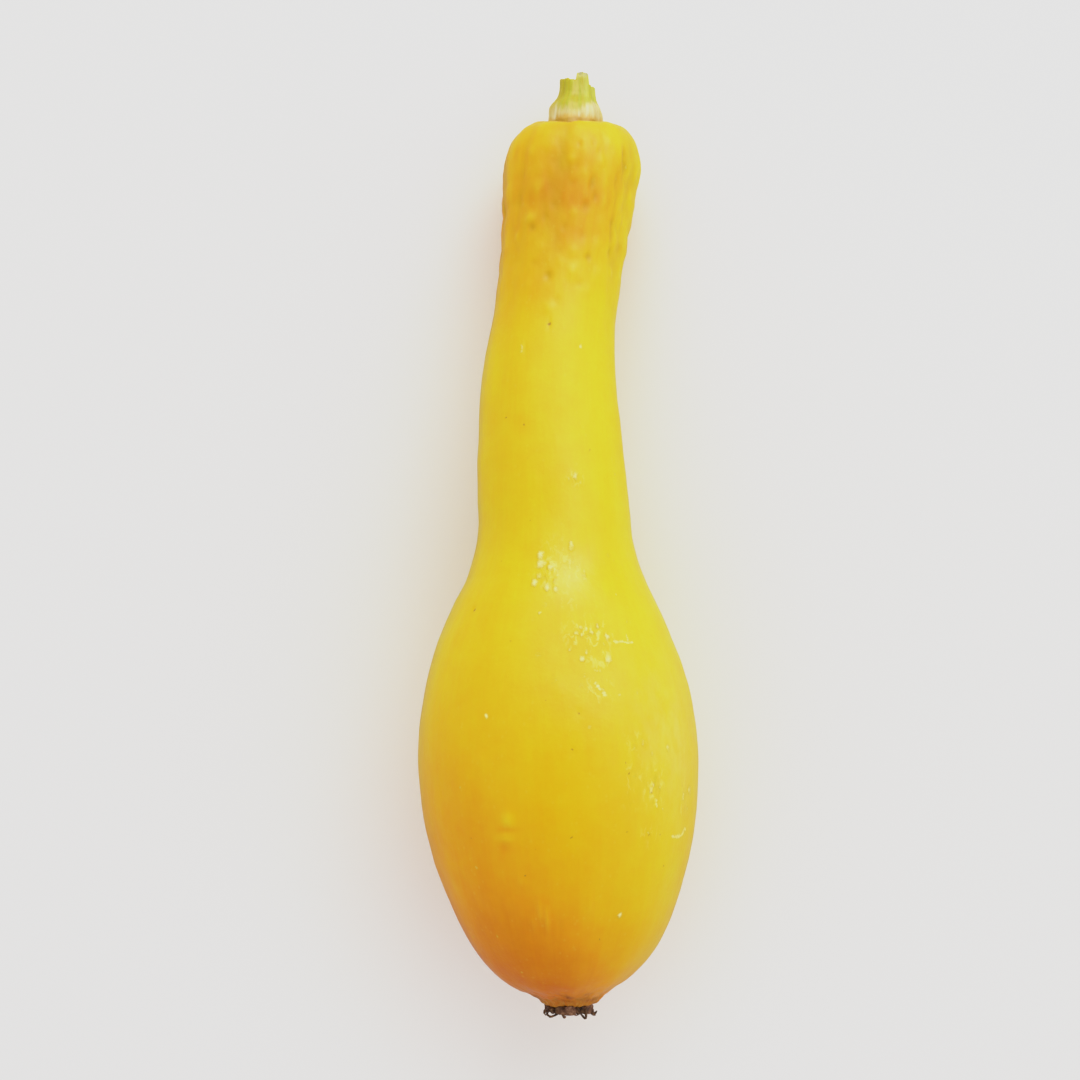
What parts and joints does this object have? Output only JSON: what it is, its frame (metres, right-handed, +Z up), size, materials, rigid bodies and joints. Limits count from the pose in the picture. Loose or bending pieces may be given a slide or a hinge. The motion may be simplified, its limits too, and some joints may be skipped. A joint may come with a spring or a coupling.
{
  "type": "yellow summer squash",
  "caption": "Whole yellow summer squash lying on its side, with a fat rounded blossom end, a long gently bent neck, a cut stem stub and the withered remains of its flower.",
  "frame": {"origin": "bottom centre of the whole squash's box, on the surface that it lies on", "axes": "+Y along the squash from the blossom end to the stem, +Z up, +X to the right seen from above with the stem at the top"},
  "size_m": [0.0626, 0.2135, 0.0625],
  "materials": {
    "squash_skin": "satin",
    "stem": "matte",
    "dried_blossom": "matte"
  },
  "bodies": {
    "root": {"squash_fruit": "squash_skin", "stem_stub": "stem", "withered_blossom": "dried_blossom"}
  },
  "joints": []
}
